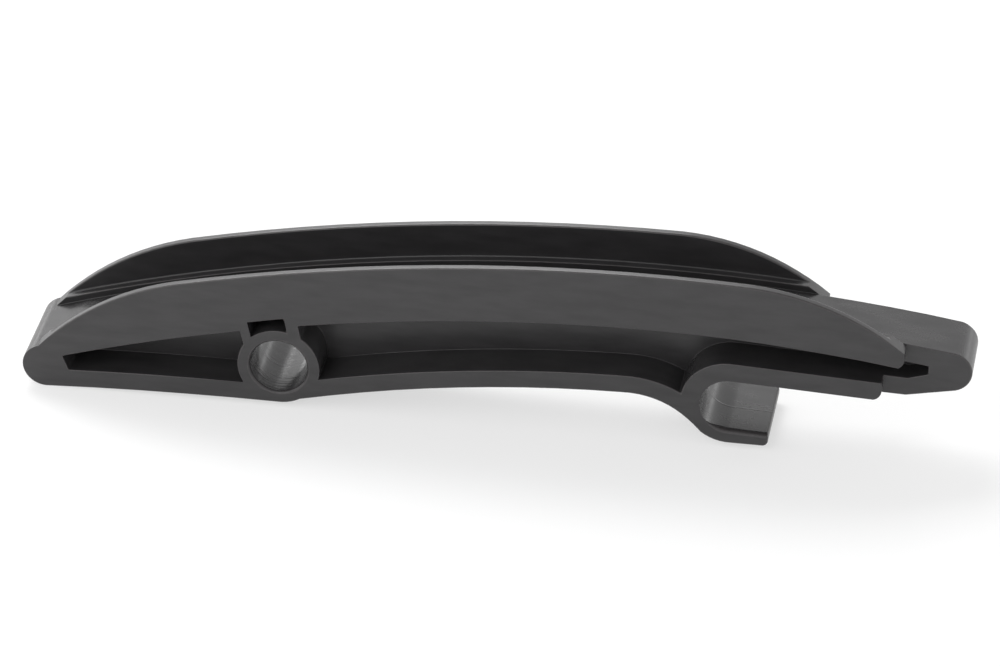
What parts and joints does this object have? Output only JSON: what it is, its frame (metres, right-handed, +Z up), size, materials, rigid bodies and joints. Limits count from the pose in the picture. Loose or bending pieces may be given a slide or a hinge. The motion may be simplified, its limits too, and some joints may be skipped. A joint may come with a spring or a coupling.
{
  "type": "timing chain guide",
  "caption": "Long curved moulded plastic guide that a timing chain slides along, with side walls, pocketed sides, a pin bore and an open fork that locates it.",
  "frame": {"origin": "axis of the pin bore at mid-width of the rail", "axes": "+X along the rail from the nose to the tip, through the fork's pin; +Y along the pin bore, from the front wall to the rear wall; +Z up, toward the chain"},
  "size_m": [0.1953, 0.0196, 0.0386],
  "materials": {
    "body": "dark grey moulded glass-filled polyamide, satin, smoother in the bore, fork and channel"
  },
  "bodies": {
    "root": {"guide_rail": "body"}
  },
  "joints": []
}
